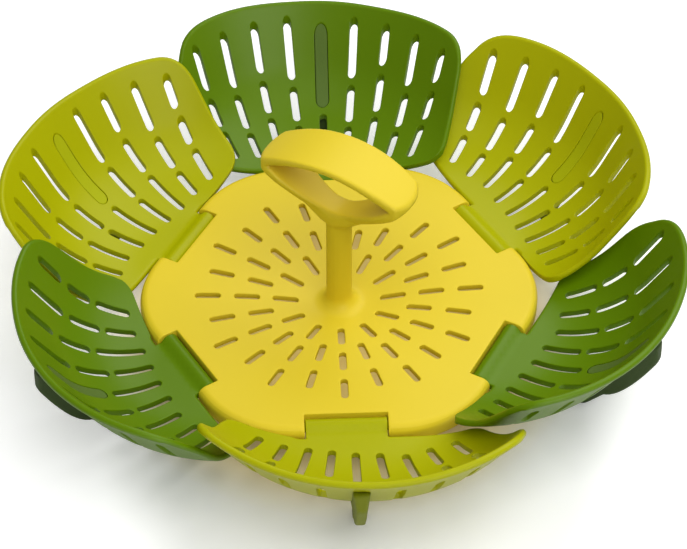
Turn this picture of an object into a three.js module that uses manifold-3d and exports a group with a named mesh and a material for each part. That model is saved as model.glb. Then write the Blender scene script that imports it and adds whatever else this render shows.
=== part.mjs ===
import * as THREE from 'three';
import { mergeVertices } from 'three/addons/utils/BufferGeometryUtils.js';
import Module from 'manifold-3d';

// Folding steamer basket: a dished base plate with a loop handle on a stem, and six petals hinged in
// notches round the plate. Each petal is cut from one bowl whose axis stands beside the plate's own,
// so every petal laps over its clockwise neighbour. A soft foot is plugged through each petal.
// Millimetres, +Z up. The origin is on the floor under the middle of the plate.

// Whole basket
const petalCount = 6;
const petalStep = (2 * Math.PI) / petalCount;
const firstPetalAngle = -Math.PI / 2;
const rimHeight = 12.6; // floor to the plate's rim plane
const runningGap = 0.35;
const seatGap = 0.3;
const overrun = 5;

// Base plate: a hexagon with round corners, a rolled edge and a shallow dish
const plateHalfFlats = 67.5;
const plateCornerRadius = 36.8;
const plateWall = 2.4;
const plateEdgeRadius = 3;
const plateEdgeHeight = 7;
const dishRimWidth = 8.5;
const dishRadius = plateHalfFlats - dishRimWidth;
const dishDepth = 7.4;
const hubRadius = 10;
const hubBossRadius = 7.5;
const hubThickness = 3.6;
const plateSlotLength = 9.4;
const plateSlotWidth = 2.5;
const plateSlotRings = 12;
const wideRowShares = [0.2889, 0.4963, 0.7067]; // of plateHalfFlats, on the hinge and corner lines
const betweenRowShares = [0.437, 0.6519];
const dishRingShares = [0.574, 0.363]; // between the rows of slots

// Hinge: a barrel moulded on the petal, with a stub pin at each end that snaps into the notch's cheek
const hingeInset = 4.5; // from the plate's flats
const hingeRadius = plateHalfFlats - hingeInset;
const hingeDrop = 3.4;
const barrelRadius = 3.1;
const notchHalfWidth = 14.5;
const notchInner = hingeRadius - barrelRadius - runningGap;
const pinRadius = 1.6;
const pinReach = 1.6;

// Petal: a slice of a bowl of revolution
const bowlInset = 15.7; // its axis, from the plate's flats
const bowlOffset = plateHalfFlats - bowlInset;
const bowlSide = 6.85;
const bowlFloorDrop = 2.6;
const bowlFlatRadius = 24;
const bowlBlendRadius = 42;
const bowlWallAngle = THREE.MathUtils.degToRad(59);
const bowlRimRadius = 70.5;
const petalWall = 2.7;
const rimLip = 0.5;
const rimLipHeight = 3;
const petalGap = 0.8; // outside the plate's flats
const petalInner = plateHalfFlats + petalGap;
const leftRimAngle = THREE.MathUtils.degToRad(29); // where each rounded corner leaves the rim
const leftWingShares = [0.5291, 0.7383]; // corners, from the bowl's axis, as shares of its rim radius
const leftHeelShares = [0.2369, 0.5525];
const rightRimAngle = THREE.MathUtils.degToRad(-44);
const rightFlankShares = [0.5645, -0.8121];
const rightHeelShares = [0.1816, -0.6915];
const leftShoulderSlope = -0.2;
const cornerRound = 10;
const wingRound = 5;
const heelRound = 4;
const sideShare = 0.6;
const petalSkew = 2.6;

// Petal slots: eight columns fan out from one point, each broken twice by a rib
const fanOrigin = 7;
const fanPitch = THREE.MathUtils.degToRad(6.7);
const petalSlotWidth = 3.1;
const slotRib = 1.9;
const rimBand = 2.5; // between the slots and the bowl's rim
const slotColumns = [ // shares of the way from the petal's inner edge to the ring where slots end
  { step: 4, innerShare: 0.285, breakShares: [0.545, 0.769] },
  { step: 3, innerShare: 0.23, breakShares: [0.471, 0.735] },
  { step: 2, innerShare: 0.216, breakShares: [0.541, 0.771] },
  { step: 1, innerShare: 0.163, breakShares: [0.455, 0.716] },
  { step: 0, innerShare: 0.144, outerShare: 0.513, breakShares: [] },
  { step: -1, innerShare: 0.13, breakShares: [0.44, 0.72] },
  { step: -2, innerShare: 0.141, breakShares: [0.535, 0.799] },
  { step: -3, innerShare: 0.188, breakShares: [0.453, 0.731] },
  { step: -4, innerShare: 0.242, breakShares: [0.559, 0.792] },
];

// Foot: an oval plug through the petal and a fin below it
const plugInset = 3.5; // from the bowl's rim
const plugLength = 21.8;
const plugWidth = 5.2;
const finThickness = 5;
const finHeelInset = 22.7; // from the petal's inner edge
const finHeelRadius = petalInner + finHeelInset;
const finHeelRound = 1.2;
const finHeelLean = 5.3;
const finHeelHeight = 12; // above the floor
const finPadLength = 5;
const finKneeRun = 13.2; // from the heel
const finKneeHeight = 8.6; // above the floor
const finBellyShares = [0.36, 0.13]; // of the way from the knee to the toe
const finToeReach = 0.2; // beyond the bowl's rim
const finToeRun = bowlOffset + bowlRimRadius + finToeReach - finHeelRadius;
const finToeDrop = 13.2; // below the rim
const finTopInset = 0.4; // from the bowl's rim
const finTopDrop = 6.2; // below the rim

// Handle: a round stem, flared where it stands, under an eye-shaped loop
const handleTurn = THREE.MathUtils.degToRad(-32);
const stemRadius = 4.6;
const stemFlare = 5;
const loopHalfLength = 29.6;
const loopHalfWidth = 10.8;
const loopTipHalfWidth = 8.4;
const loopWall = 2.8;
const loopCrown = 67.2;
const loopTipHeight = 58.2;
const loopTipRound = 3;
const loopFootHeight = 37;
const loopFootHalfWidth = 5;
const loopFlareShares = [0.6, 0.42]; // of the way from the foot's half width and arms to the arch's

// Screw that holds the handle to the hub
const screwRadius = 1.75;
const screwReach = 14;
const screwHeadRadius = 3.6;
const screwHeadHeight = 2.1;

// How finely curves are divided
const arcSteps = 4;
const roundSteps = 24;
const holeSteps = 16;
const plateEdgeSteps = 3;
const bowlSteps = 30;
const profileSteps = 4;
const slotEndSteps = 3;
const plateSlotEndSteps = 2;
const pinSteps = 8;
const finSteps = 7;
const loopSteps = 10;
const leafSteps = 8;
const flareSteps = 6;

const wasm = await Module();
wasm.setup();

// A closed three.js geometry as a solid, facing outwards
function solidOf(source) {
  const geometry = source.clone();
  geometry.deleteAttribute('normal');
  geometry.deleteAttribute('uv');
  const merged = mergeVertices(geometry);
  const place = merged.getAttribute('position');
  const corners = merged.index ? Array.from(merged.index.array) : [...Array(place.count).keys()];
  const triangles = [];
  const [a, b, c] = [new THREE.Vector3(), new THREE.Vector3(), new THREE.Vector3()];
  let volume = 0;
  for (let i = 0; i < corners.length; i += 3) {
    const [p, q, r] = corners.slice(i, i + 3);
    if (p === q || q === r || r === p) continue;
    triangles.push([p, q, r]);
    a.fromBufferAttribute(place, p);
    b.fromBufferAttribute(place, q);
    c.fromBufferAttribute(place, r);
    volume += a.dot(b.cross(c));
  }
  const outward = volume > 0 ? triangles : triangles.map(([p, q, r]) => [p, r, q]);
  return new wasm.Manifold(new wasm.Mesh({
    numProp: 3,
    vertProperties: new Float32Array(place.array),
    triVerts: new Uint32Array(outward.flat()),
  }));
}

function geometryOf(solid) {
  const mesh = solid.getMesh();
  const geometry = new THREE.BufferGeometry();
  geometry.setAttribute('position', new THREE.BufferAttribute(new Float32Array(mesh.vertProperties), 3));
  geometry.setIndex(new THREE.BufferAttribute(new Uint32Array(mesh.triVerts), 1));
  return geometry.toNonIndexed();
}

// An upright prism of an outline, from one height to another
function prism(shape, low, high, curveSegments = arcSteps) {
  const geometry = new THREE.ExtrudeGeometry(shape, {
    depth: high - low,
    bevelEnabled: false,
    curveSegments,
  });
  return geometry.translate(0, 0, low);
}

// A profile of radius and height turned about the upright axis
function turned(profile, steps = roundSteps) {
  return new THREE.LatheGeometry(profile, steps).rotateX(Math.PI / 2);
}

function disc(radius, low, high, steps = roundSteps) {
  const profile = [[0, low], [radius, low], [radius, high], [0, high]];
  return turned(profile.map(([r, z]) => new THREE.Vector2(r, z)), steps);
}

function join(first, ...others) {
  return others.reduce((whole, geometry) => whole.add(solidOf(geometry)), first);
}

function cut(first, ...others) {
  return others.reduce((whole, geometry) => whole.subtract(solidOf(geometry)), first);
}

// A slot outline with round ends between two points
function slotShape(start, end, width, endSteps = slotEndSteps) {
  const along = Math.atan2(end.y - start.y, end.x - start.x);
  const inset = new THREE.Vector2(Math.cos(along), Math.sin(along)).multiplyScalar(width / 2);
  const half = (centre, from) => [...Array(endSteps + 1).keys()].map((i) => {
    const angle = from + (i / endSteps) * Math.PI;
    return new THREE.Vector2(Math.cos(angle), Math.sin(angle)).multiplyScalar(width / 2).add(centre);
  });
  const last = half(end.clone().sub(inset), along - Math.PI / 2);
  const first = half(start.clone().add(inset), along + Math.PI / 2);
  return new THREE.Shape([...last, ...first]);
}

// A closed outline through corners, each rounded over its own length or from and to given points. A
// rounding takes no more than its share of the side that it is on.
function roundedShape(corners) {
  const shape = new THREE.Shape();
  corners.forEach(({ at, round = 0, roundFrom, roundTo }, i) => {
    const along = (side) => side.clampLength(0, Math.min(round, sideShare * side.length()));
    const before = corners[(i + corners.length - 1) % corners.length].at;
    const after = corners[(i + 1) % corners.length].at;
    const start = roundFrom ?? at.clone().add(along(before.clone().sub(at)));
    const end = roundTo ?? at.clone().add(along(after.clone().sub(at)));
    if (i === 0) shape.moveTo(start.x, start.y);
    else if (!roundFrom) shape.lineTo(start.x, start.y);
    if (round > 0) shape.quadraticCurveTo(at.x, at.y, end.x, end.y);
  });
  return shape;
}

// Base plate

function plateShape(inset) {
  const radius = plateCornerRadius - inset;
  const centre = (plateHalfFlats - plateCornerRadius) / Math.cos(petalStep / 2);
  const shape = new THREE.Shape();
  for (let i = 0; i < petalCount; i += 1) {
    const angle = i * petalStep;
    const x = centre * Math.cos(angle);
    const y = centre * Math.sin(angle);
    shape.absarc(x, y, radius, angle - petalStep / 2, angle + petalStep / 2, false);
  }
  return shape;
}

function plateTop(radius) {
  const r = Math.max(Math.min(radius, dishRadius), hubRadius);
  return -dishDepth * (1 - r / dishRadius) ** 2;
}

const hubTop = plateTop(hubRadius);

// The dish surface turned into a solid between it and a level
function dishSolid(level, drop, reach) {
  const profile = [new THREE.Vector2(0, level), new THREE.Vector2(reach, level)];
  const radii = [reach, dishRadius, ...dishRingShares.map((share) => share * plateHalfFlats), hubRadius, 0];
  radii.forEach((r) => profile.push(new THREE.Vector2(r, plateTop(r) - drop)));
  return turned(profile).rotateZ(Math.PI / roundSteps);
}

function around(makeGeometry) {
  return [...Array(petalCount).keys()].flatMap((i) => {
    const angle = firstPetalAngle + i * petalStep;
    return makeGeometry(angle).map((geometry) => geometry.rotateZ(angle));
  });
}

function hingeRod(radius, from, to, steps) {
  const rod = new THREE.CylinderGeometry(radius, radius, to - from, steps);
  return rod.translate(hingeRadius, (from + to) / 2, -hingeDrop);
}

function box(x0, x1, y0, y1, z0, z1) {
  const geometry = new THREE.BoxGeometry(x1 - x0, y1 - y0, z1 - z0);
  return geometry.translate((x0 + x1) / 2, (y0 + y1) / 2, (z0 + z1) / 2);
}

function plateSlots() {
  const slots = [];
  for (let i = 0; i < 2 * plateSlotRings; i += 1) {
    const angle = (i * Math.PI) / plateSlotRings;
    const shares = i % 2 === 0 ? wideRowShares : betweenRowShares;
    shares.forEach((share) => {
      const middle = share * plateHalfFlats;
      const start = new THREE.Vector2(middle - plateSlotLength / 2, 0);
      const end = new THREE.Vector2(middle + plateSlotLength / 2, 0);
      const shape = slotShape(start, end, plateSlotWidth, plateSlotEndSteps);
      slots.push(prism(shape, -plateEdgeHeight - dishDepth, overrun).rotateZ(angle));
    });
  }
  return slots;
}

function makeBasePlate() {
  const reach = plateHalfFlats + plateCornerRadius;
  const block = new THREE.ExtrudeGeometry(plateShape(plateEdgeRadius), {
    depth: plateEdgeHeight,
    bevelThickness: plateEdgeRadius,
    bevelSize: plateEdgeRadius,
    bevelSegments: plateEdgeSteps,
    curveSegments: plateEdgeSteps,
  });
  block.translate(0, 0, -plateEdgeHeight - plateEdgeRadius);
  const cheek = notchHalfWidth + plateWall;
  const pinSeat = pinReach + runningGap;
  const pocketBottom = -plateEdgeHeight - dishDepth;
  const walls = around(() => [
    box(notchInner - plateWall, reach, -cheek, cheek, pocketBottom - overrun, overrun),
  ]);
  const pocket = cut(
    solidOf(prism(plateShape(plateWall), pocketBottom, 0, plateEdgeSteps)),
    ...walls,
  ).intersect(solidOf(dishSolid(pocketBottom - overrun, plateWall, reach)));
  const skirt = solidOf(prism(plateShape(-overrun), -plateEdgeHeight, overrun));
  let plate = solidOf(block).intersect(skirt);
  plate = plate.subtract(pocket.intersect(skirt));
  const dish = solidOf(dishSolid(-hubThickness - dishDepth, 0, dishRadius));
  const bowlPocket = solidOf(dishSolid(-hubThickness - dishDepth - overrun, plateWall, dishRadius));
  plate = plate.add(dish.subtract(bowlPocket).subtract(pocket));
  plate = cut(plate, dishSolid(overrun, 0, dishRadius));
  plate = join(plate, disc(hubBossRadius, hubTop - hubThickness, hubTop - plateWall / 2));
  const notches = around(() => [
    box(notchInner, reach, -notchHalfWidth, notchHalfWidth, pocketBottom, overrun),
    hingeRod(pinRadius + runningGap, -notchHalfWidth - pinSeat, notchHalfWidth + pinSeat, pinSteps),
  ]);
  plate = cut(plate, ...notches, ...plateSlots());
  return cut(plate, disc(screwRadius + seatGap, hubTop - hubThickness - overrun, overrun, holeSteps));
}

// Petal

// Points of the bowl's profile, moved outwards from its inner face by a thickness
function bowlProfile(outward, rimRadius = bowlRimRadius) {
  const radius = bowlBlendRadius + outward;
  const centreHeight = bowlBlendRadius - bowlFloorDrop;
  const points = [new THREE.Vector2(0, -bowlFloorDrop - outward)];
  for (let i = 0; i <= profileSteps; i += 1) {
    const angle = (i / profileSteps) * bowlWallAngle;
    const r = bowlFlatRadius + radius * Math.sin(angle);
    points.push(new THREE.Vector2(r, centreHeight - radius * Math.cos(angle)));
  }
  const wallFoot = points[points.length - 1];
  const run = rimRadius + outward * Math.sin(bowlWallAngle) - wallFoot.x;
  points.push(new THREE.Vector2(wallFoot.x + run, wallFoot.y + run * Math.tan(bowlWallAngle)));
  return points;
}

function onBowl(geometry) {
  return geometry.translate(bowlOffset, bowlSide, 0);
}

// Everything inside the bowl's surface, up to above the rim
function bowlFilling(outward) {
  const profile = bowlProfile(outward, bowlRimRadius + overrun);
  profile.push(new THREE.Vector2(0, profile[profile.length - 1].y));
  return onBowl(turned(profile, bowlSteps));
}

function bowlShell() {
  const inside = bowlProfile(0);
  const outside = bowlProfile(petalWall).slice(0, -1);
  const along = new THREE.Vector2(Math.cos(bowlWallAngle), Math.sin(bowlWallAngle));
  const out = new THREE.Vector2(along.y, -along.x);
  const rim = inside[inside.length - 1];
  const lipFoot = rim.clone().addScaledVector(along, -rimLipHeight);
  const lip = [
    rim.clone().addScaledVector(out, petalWall / 2).addScaledVector(along, rimLip),
    rim.clone().addScaledVector(out, petalWall + rimLip),
    lipFoot.clone().addScaledVector(out, petalWall + rimLip),
    lipFoot.clone().addScaledVector(out, petalWall),
  ];
  return onBowl(turned([...inside, ...lip, ...outside.reverse()], bowlSteps));
}

// The petal seen from above: straight flanks, and corners that run smoothly into the bowl's rim
function petalShape() {
  const centre = new THREE.Vector2(bowlOffset, bowlSide);
  const fromAxis = ([x, y]) => new THREE.Vector2(x, y).multiplyScalar(bowlRimRadius).add(centre);
  const [leftWing, leftHeel] = [leftWingShares, leftHeelShares].map(fromAxis);
  const [rightFlank, rightHeel] = [rightFlankShares, rightHeelShares].map(fromAxis);
  const rim = bowlRimRadius + petalWall / 2;
  const leaveRim = (angle, flank, direction) => {
    const out = new THREE.Vector2(Math.cos(angle), Math.sin(angle));
    const run = (rim - flank.clone().sub(centre).dot(out)) / direction.dot(out);
    return {
      touch: centre.clone().addScaledVector(out, rim),
      corner: flank.clone().addScaledVector(direction, run),
      beyond: centre.clone().addScaledVector(out, rim + overrun),
    };
  };
  const shoulder = new THREE.Vector2(1, leftShoulderSlope).normalize();
  const flank = rightFlank.clone().sub(rightHeel).normalize();
  const left = leaveRim(leftRimAngle, leftWing, shoulder);
  const right = leaveRim(rightRimAngle, rightFlank, flank);
  const farSide = bowlOffset + 2 * rim;
  return roundedShape([
    { at: right.beyond },
    { at: new THREE.Vector2(farSide, right.beyond.y) },
    { at: new THREE.Vector2(farSide, left.beyond.y) },
    { at: left.beyond },
    { at: left.touch },
    { at: left.corner, roundFrom: left.touch, round: cornerRound },
    { at: leftWing, round: wingRound },
    { at: leftHeel, round: heelRound },
    { at: new THREE.Vector2(petalInner, notchHalfWidth + plateWall) },
    { at: new THREE.Vector2(petalInner, -notchHalfWidth - plateWall) },
    { at: rightHeel, round: heelRound },
    { at: right.corner, roundTo: right.touch, round: cornerRound },
  ]);
}

function fanPoint(step, distance) {
  const angle = step * fanPitch;
  return new THREE.Vector2(fanOrigin + distance * Math.cos(angle), petalSkew + distance * Math.sin(angle));
}

// Distance from the fan's origin at which a column meets the ring where the slots end
function slotEnd(step) {
  const angle = step * fanPitch;
  const toBowl = new THREE.Vector2(bowlOffset - fanOrigin, bowlSide - petalSkew);
  const along = toBowl.x * Math.cos(angle) + toBowl.y * Math.sin(angle);
  return along + Math.sqrt(along ** 2 - toBowl.lengthSq() + (bowlRimRadius - rimBand) ** 2);
}

function petalSlots() {
  return slotColumns.flatMap(({ step, innerShare, outerShare = 1, breakShares }) => {
    const inner = petalInner - fanOrigin;
    const distance = (share) => inner + share * (slotEnd(step) - inner);
    const ribs = breakShares.flatMap((share) => [distance(share) - slotRib / 2, distance(share) + slotRib / 2]);
    const ends = [distance(innerShare), ...ribs, distance(outerShare)];
    const slots = [];
    for (let i = 0; i < ends.length; i += 2) {
      const shape = slotShape(fanPoint(step, ends[i]), fanPoint(step, ends[i + 1]), petalSlotWidth);
      slots.push(prism(shape, -bowlBlendRadius, bowlRimRadius));
    }
    return slots;
  });
}

function plugShape(inset) {
  const outer = bowlOffset + bowlRimRadius - plugInset;
  const start = new THREE.Vector2(outer - plugLength + inset, petalSkew);
  const end = new THREE.Vector2(outer - inset, petalSkew);
  return slotShape(start, end, plugWidth - 2 * inset);
}

function makePetal() {
  const barrelHalf = notchHalfWidth - runningGap;
  const floor = -bowlFloorDrop;
  const outline = prism(petalShape(), -bowlBlendRadius, bowlRimRadius);
  let petal = solidOf(bowlShell()).intersect(solidOf(outline));
  petal = cut(petal, ...petalSlots(), prism(plugShape(0), -bowlBlendRadius, bowlRimRadius));
  return join(
    petal,
    box(hingeRadius, petalInner + petalWall, -barrelHalf, barrelHalf, floor - petalWall, floor),
    hingeRod(barrelRadius, -barrelHalf, barrelHalf, 2 * pinSteps),
    hingeRod(pinRadius, -notchHalfWidth - pinReach, notchHalfWidth + pinReach, pinSteps),
  );
}

// Foot

// The fin from the side: a flat pad under a leaning heel, a knee, and a belly that follows the bowl
function finShape() {
  const shape = new THREE.Shape();
  const rim = rimHeight + bowlProfile(0).at(-1).y;
  const toe = new THREE.Vector2(finToeRun, rim - finToeDrop);
  const knee = new THREE.Vector2(finKneeRun, finKneeHeight);
  const [along, up] = finBellyShares;
  shape.moveTo(finHeelRound, 0);
  shape.lineTo(finHeelRound + finPadLength, 0);
  shape.lineTo(knee.x, knee.y);
  shape.quadraticCurveTo(knee.x + along * (toe.x - knee.x), knee.y + up * (toe.y - knee.y), toe.x, toe.y);
  shape.lineTo(finToeRun - finToeReach - finTopInset, rim - finTopDrop);
  shape.lineTo(finHeelLean, rim - finTopDrop);
  shape.lineTo(finHeelLean, finHeelHeight);
  shape.lineTo(0, finHeelRound);
  return shape;
}

function makeFoot() {
  const slab = prism(finShape(), -finThickness / 2, finThickness / 2, finSteps);
  slab.rotateX(Math.PI / 2).translate(finHeelRadius, petalSkew, -rimHeight);
  const fin = cut(solidOf(slab), bowlFilling(petalWall + seatGap));
  const plug = solidOf(prism(plugShape(seatGap), -bowlBlendRadius, bowlRimRadius));
  const plugPart = cut(plug.intersect(solidOf(bowlFilling(petalWall + 2 * seatGap))), bowlFilling(0));
  return fin.add(plugPart);
}

// Handle

function loopShape() {
  const tip = loopHalfLength - loopTipRound;
  const underTip = loopTipHeight - loopWall;
  const shape = new THREE.Shape();
  shape.moveTo(-stemRadius, loopFootHeight);
  shape.lineTo(-tip, underTip - loopTipRound / 2);
  shape.quadraticCurveTo(-loopHalfLength, underTip, -loopHalfLength, loopTipHeight - loopTipRound / 2);
  shape.quadraticCurveTo(-loopHalfLength, loopTipHeight, -tip, loopTipHeight + loopTipRound / 2);
  shape.quadraticCurveTo(0, 2 * loopCrown - loopTipHeight - loopTipRound / 2, tip,
    loopTipHeight + loopTipRound / 2);
  shape.quadraticCurveTo(loopHalfLength, loopTipHeight, loopHalfLength, loopTipHeight - loopTipRound / 2);
  shape.quadraticCurveTo(loopHalfLength, underTip, tip, underTip - loopTipRound / 2);
  shape.lineTo(stemRadius, loopFootHeight);
  return shape;
}

// The finger gap in the loop, under the arch and over the two arms
function fingerGapShape() {
  const tip = loopHalfLength - 2 * loopWall;
  const ceiling = loopCrown - loopWall;
  const corner = loopTipHeight - loopWall / 2;
  const foot = loopFootHeight + 2 * loopWall;
  const shape = new THREE.Shape();
  shape.moveTo(-tip, corner);
  shape.quadraticCurveTo(0, 2 * ceiling - corner, tip, corner);
  shape.quadraticCurveTo(tip / 3, foot, 0, foot);
  shape.quadraticCurveTo(-tip / 3, foot, -tip, corner);
  return shape;
}

// The loop's plan: a leaf, widest in the middle
function leafShape() {
  const shape = new THREE.Shape();
  const bulge = 2 * loopHalfWidth - loopTipHalfWidth;
  const shoulder = loopHalfLength - loopTipRound;
  shape.moveTo(-shoulder, -loopTipHalfWidth);
  shape.quadraticCurveTo(0, -bulge, shoulder, -loopTipHalfWidth);
  shape.quadraticCurveTo(loopHalfLength + loopTipRound, 0, shoulder, loopTipHalfWidth);
  shape.quadraticCurveTo(0, bulge, -shoulder, loopTipHalfWidth);
  shape.quadraticCurveTo(-loopHalfLength - loopTipRound, 0, -shoulder, -loopTipHalfWidth);
  return shape;
}

// The loop from its end: as narrow as the stem along the arms, and full width at the arch
function flareShape() {
  const shape = new THREE.Shape();
  const low = loopFootHeight - overrun;
  const armTop = loopFootHeight + 2 * loopWall;
  const arch = loopTipHeight + loopWall / 2;
  const bendWidth = loopFootHalfWidth + loopFlareShares[0] * (loopHalfWidth - loopFootHalfWidth);
  const bendHeight = armTop + loopFlareShares[1] * (arch - armTop);
  shape.moveTo(-loopFootHalfWidth, low);
  shape.lineTo(loopFootHalfWidth, low);
  shape.lineTo(loopFootHalfWidth, armTop);
  shape.quadraticCurveTo(bendWidth, bendHeight, loopHalfWidth, arch);
  shape.lineTo(loopHalfWidth, loopCrown + overrun);
  shape.lineTo(-loopHalfWidth, loopCrown + overrun);
  shape.lineTo(-loopHalfWidth, arch);
  shape.quadraticCurveTo(-bendWidth, bendHeight, -loopFootHalfWidth, armTop);
  return shape;
}

function makeHandle() {
  const foot = hubTop + seatGap;
  const stem = [new THREE.Vector2(0, foot), new THREE.Vector2(stemRadius + stemFlare, foot)];
  for (let i = 0; i <= arcSteps; i += 1) {
    const angle = (i / arcSteps) * (Math.PI / 2);
    const r = stemRadius + stemFlare * (1 - Math.sin(angle));
    stem.push(new THREE.Vector2(r, foot + seatGap + stemFlare * (1 - Math.cos(angle))));
  }
  stem.push(new THREE.Vector2(stemRadius, loopFootHeight - stemRadius));
  stem.push(new THREE.Vector2(loopFootHalfWidth, loopFootHeight + loopWall / 2));
  stem.push(new THREE.Vector2(loopFootHalfWidth, loopFootHeight + loopWall));
  stem.push(new THREE.Vector2(0, loopFootHeight + loopWall));
  const across = 2 * loopHalfWidth;
  const band = prism(loopShape(), -across, across, loopSteps).rotateX(Math.PI / 2);
  const gap = prism(fingerGapShape(), -across, across, loopSteps).rotateX(Math.PI / 2);
  const leaf = prism(leafShape(), 0, loopCrown + overrun, leafSteps);
  const flare = prism(flareShape(), -2 * loopHalfLength, 2 * loopHalfLength, flareSteps);
  flare.rotateX(Math.PI / 2).rotateZ(Math.PI / 2);
  const loop = solidOf(band).intersect(solidOf(leaf)).intersect(solidOf(flare));
  const handle = cut(join(loop, turned(stem)), gap);
  return cut(handle, disc(screwRadius + seatGap, hubTop - overrun, foot + screwReach, holeSteps));
}

// Screw

function makeScrew() {
  const under = hubTop - hubThickness - seatGap;
  const profile = [
    [0, under - screwHeadHeight],
    [screwHeadRadius / 2, under - screwHeadHeight],
    [screwHeadRadius, under - screwHeadHeight / 3],
    [screwHeadRadius, under],
    [screwRadius, under],
    [screwRadius, hubTop + screwReach - screwRadius],
    [0, hubTop + screwReach],
  ];
  return turned(profile.map(([r, z]) => new THREE.Vector2(r, z)), holeSteps);
}

// Materials
const finish = (color, roughness, metalness = 0) => new THREE.MeshStandardMaterial({
  color,
  roughness,
  metalness,
});
const yellow = finish(0xe8d04c, 0.5);
const darkGreen = finish(0x58842d, 0.45);
const lightGreen = finish(0xb2b61c, 0.45);
const charcoal = finish(0x28321f, 0.75);
const olive = finish(0x8f9420, 0.75);
const steel = finish(0xb8bcc0, 0.3, 1);

// Assembly
const basket = new THREE.Group();
const raised = new THREE.Group();
raised.position.z = rimHeight;
basket.add(raised);

function place(name, geometry, material, angle = 0) {
  const mesh = new THREE.Mesh(geometry, material);
  mesh.name = name;
  mesh.rotation.z = angle;
  raised.add(mesh);
}

place('base_plate', geometryOf(makeBasePlate()), yellow);
place('handle', geometryOf(makeHandle()), yellow.clone(), handleTurn);
place('handle_screw', makeScrew(), steel);
const petal = geometryOf(makePetal());
const foot = geometryOf(makeFoot());
for (let i = 0; i < petalCount; i += 1) {
  const angle = firstPetalAngle + i * petalStep;
  const light = i % 2 === 0;
  place(`petal_${i + 1}`, petal.clone(), (light ? lightGreen : darkGreen).clone(), angle);
  place(`foot_${i + 1}`, foot.clone(), (light ? olive : charcoal).clone(), angle);
}

export default basket;
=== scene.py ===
import bpy, math
import numpy as np
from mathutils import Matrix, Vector
from mathutils.geometry import delaunay_2d_cdt


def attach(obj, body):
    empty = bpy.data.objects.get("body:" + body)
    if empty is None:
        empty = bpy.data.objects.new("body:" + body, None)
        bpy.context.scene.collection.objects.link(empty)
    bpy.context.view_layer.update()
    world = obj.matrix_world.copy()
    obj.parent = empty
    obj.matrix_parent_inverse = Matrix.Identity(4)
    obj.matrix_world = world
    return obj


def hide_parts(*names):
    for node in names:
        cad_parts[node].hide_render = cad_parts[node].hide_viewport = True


# Folding steamer basket: dished plate, handle on a stem, six slotted petals, soft feet.
# Shapes are worked out in millimetres and turned into metres when a mesh is made.

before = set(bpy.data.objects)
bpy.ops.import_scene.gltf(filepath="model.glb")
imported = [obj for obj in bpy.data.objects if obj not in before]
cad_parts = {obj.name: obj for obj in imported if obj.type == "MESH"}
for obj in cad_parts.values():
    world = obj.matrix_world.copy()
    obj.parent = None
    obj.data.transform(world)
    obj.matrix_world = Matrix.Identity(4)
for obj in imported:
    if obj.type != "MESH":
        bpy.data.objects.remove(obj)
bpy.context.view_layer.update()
mm = 0.001

basket = {
    "petals": 6,
    "firstAngle": -90.0,
    "rimHeight": 12.6,      # floor to the plate's rim plane
    "skew": 2.6,            # middle of the slot fan, off the petal's hinge line
}

view = {
    "lens": 130.57,
    "sensor": 36.0,
    "place": (-24.2, -636.3, 655.4),
    "aim": (1.915, 8.31, 12.6),
}


# Camera and scene

def makeCamera():
    camera = bpy.data.objects.new("camera", bpy.data.cameras.new("camera"))
    camera.data.lens = view["lens"]
    camera.data.sensor_width = view["sensor"]
    camera.data.sensor_fit = "HORIZONTAL"
    camera.data.clip_start = 0.01
    camera.location = Vector(view["place"]) * mm
    direction = Vector(view["aim"]) * mm - camera.location
    camera.rotation_euler = direction.to_track_quat("-Z", "Y").to_euler()
    bpy.context.scene.collection.objects.link(camera)
    bpy.context.scene.camera = camera


makeCamera()
bpy.context.scene.view_settings.view_transform = "Standard"


# Mesh helpers

def petalTurn(number):
    # angle of a petal's hinge line, from petal 1 at the front
    return math.radians(basket["firstAngle"] + (number - 1) * 360.0 / basket["petals"])


def turned(points, angle):
    # points turned about the basket's upright axis
    c, s = math.cos(angle), math.sin(angle)
    out = points.copy()
    out[:, 0] = c * points[:, 0] - s * points[:, 1]
    out[:, 1] = s * points[:, 0] + c * points[:, 1]
    return out


def joined(parts):
    # one list of points and faces from several (points, [faces, ...]) parts
    points, faces, start = [], [], 0
    for partPoints, partFaces in parts:
        points.append(partPoints)
        faces += [face + start for face in partFaces if len(face)]
        start += len(partPoints)
    return np.concatenate(points), faces


def addPiece(name, part, slot, body, node, shade=None):
    # part is (points in mm above the rim plane, [face arrays]); faces of one array have one size.
    # It rides on body, takes the place of the CAD's node and may carry a shade for each point.
    points, faces = part
    placed = (points + [0.0, 0.0, basket["rimHeight"]]) * mm
    mesh = bpy.data.meshes.new(name)
    mesh.from_pydata(placed.tolist(), [], [corners for array in faces for corners in array.tolist()])
    mesh.validate()
    mesh.shade_smooth()
    mesh.materials.append(materials[slot])
    if shade is not None:
        mesh.attributes.new("shade", "FLOAT", "POINT").data.foreach_set("value", shade.astype(np.float32))
    piece = bpy.data.objects.new(name, mesh)
    bpy.context.scene.collection.objects.link(piece)
    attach(piece, body)
    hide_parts(node)


def addRound(name, part, slots, shade=None):
    # one piece for each petal, turned to its place; the petals' finishes take turns
    points, faces = part
    for number in range(1, basket["petals"] + 1):
        piece = (turned(points, petalTurn(number)), faces)
        slot = slots[(number - 1) % len(slots)]
        addPiece(f"{name}{number}", piece, slot, f"petal_{number}", f"{name}_{number}", shade)


def ringFaces(rings, count):
    # quads between closed rings of points that follow each other, each with count points
    i = np.arange(count)
    j = (i + 1) % count
    steps = count * np.arange(rings - 1)[:, None]
    return np.stack([i + steps, j + steps, j + steps + count, i + steps + count], axis=-1).reshape(-1, 4)


def smoothStep(x, low, high):
    t = np.clip((x - low) / (high - low), 0.0, 1.0)
    return t * t * (3.0 - 2.0 * t)


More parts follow.
